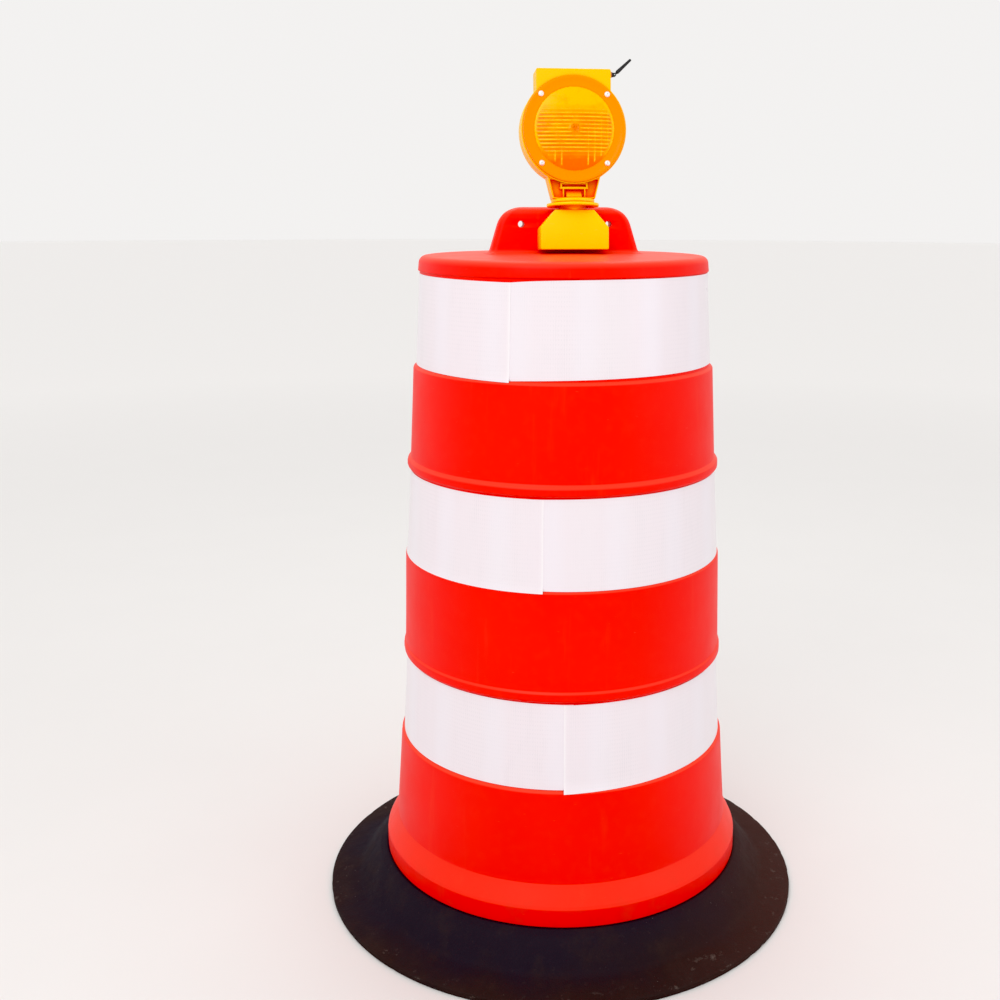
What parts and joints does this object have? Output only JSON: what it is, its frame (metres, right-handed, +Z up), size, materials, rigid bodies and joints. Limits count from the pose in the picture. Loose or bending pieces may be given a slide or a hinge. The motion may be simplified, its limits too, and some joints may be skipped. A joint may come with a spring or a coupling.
{
  "type": "traffic barrel drum",
  "caption": "Orange traffic barrel drum with white reflective bands and a moulded grip, standing on a black rubber ballast ring, with a swivelling solar warning lamp bolted on top.",
  "frame": {"origin": "on the ground under the middle of the rubber base", "axes": "+Z up along the drum's axis; -Y towards the side that the lamp faces; X along the grip"},
  "size_m": [0.889, 0.889, 1.4988],
  "materials": {
    "rubber": "matt moulded recycled rubber, scuffed",
    "orange_drum": "satin moulded polyethylene",
    "sheeting": "white prismatic retroreflective sheeting",
    "yellow_case": "satin moulded polycarbonate",
    "amber_lens": "clear amber acrylic with moulded ribs",
    "steel": "zinc plated",
    "nylon": "natural nylon",
    "seal": "soft black foam rubber",
    "white_inner": "satin white plastic",
    "circuit": "green solder mask",
    "led": "clear amber epoxy",
    "cell_wrap": "shrink wrapped cells",
    "black_plastic": "matt",
    "black_rubber": "matt",
    "solar_cell": "glossy dark blue cells",
    "clear_window": "clear glossy cover",
    "brass": "dull red brass"
  },
  "bodies": {
    "base": {"rubber_base": "rubber"},
    "drum": {"drum_body": "orange_drum", "reflective_sheet_upper": "sheeting", "reflective_sheet_middle": "sheeting", "reflective_sheet_lower": "sheeting", "bracket_front_shell": "yellow_case", "bracket_rear_cover": "yellow_case", "bracket_cover_screws": "steel", "captive_nut": "steel", "mount_bolt": "steel", "cup_washer": "steel", "swivel_washer": "nylon"},
    "lamp_head": {"swivel_collar": "yellow_case", "swivel_retainer": "steel", "swivel_screw": "steel", "head_front_shell": "yellow_case", "head_rear_shell": "yellow_case", "front_lens": "amber_lens", "rear_lens": "amber_lens", "front_lens_gasket": "seal", "rear_lens_gasket": "seal", "front_lens_screws": "steel", "rear_lens_screws": "steel", "bulkhead": "white_inner", "led_board_front": "circuit", "led_board_rear": "circuit", "led_front": "led", "led_rear": "led", "battery_cells": "cell_wrap", "battery_holder": "black_plastic", "controller_board": "circuit", "solar_panel": "solar_cell", "solar_window": "clear_window", "antenna_connector": "brass", "button_bezel": "black_plastic", "switch_body": "black_plastic"},
    "antenna_swivel_body": {"antenna_knuckle": "black_plastic", "antenna_pin": "steel"},
    "antenna": {"antenna_whip": "black_rubber"},
    "button": {"power_button": "black_rubber"}
  },
  "joints": [
    {"name": "drum_lift", "type": "slide", "parent": "base", "child": "drum", "axis": [0, 0, 1], "range_m": [0, 0.25]},
    {"name": "lamp_swivel", "type": "hinge", "parent": "drum", "child": "lamp_head", "pos_m": [0.01, -0.0367, 1.26719], "axis": [0, 0.1045, 0.9945], "range_deg": [-170, 170]},
    {"name": "antenna_swivel", "type": "hinge", "parent": "lamp_head", "child": "antenna_swivel_body", "pos_m": [0.0798, -0.02511, 1.4731], "axis": [1, 0, 0], "range_deg": [-90, 90]},
    {"name": "antenna_tilt", "type": "hinge", "parent": "antenna_swivel_body", "child": "antenna", "pos_m": [0.0798, -0.02511, 1.4731], "axis": [0, -0.9945, 0.1045], "range_deg": [-42, 48]},
    {"name": "power_press", "type": "slide", "parent": "lamp_head", "child": "button", "axis": [0, -0.9945, 0.1045], "range_m": [0, 0.0015], "stiffness_N_per_m": 300}
  ]
}
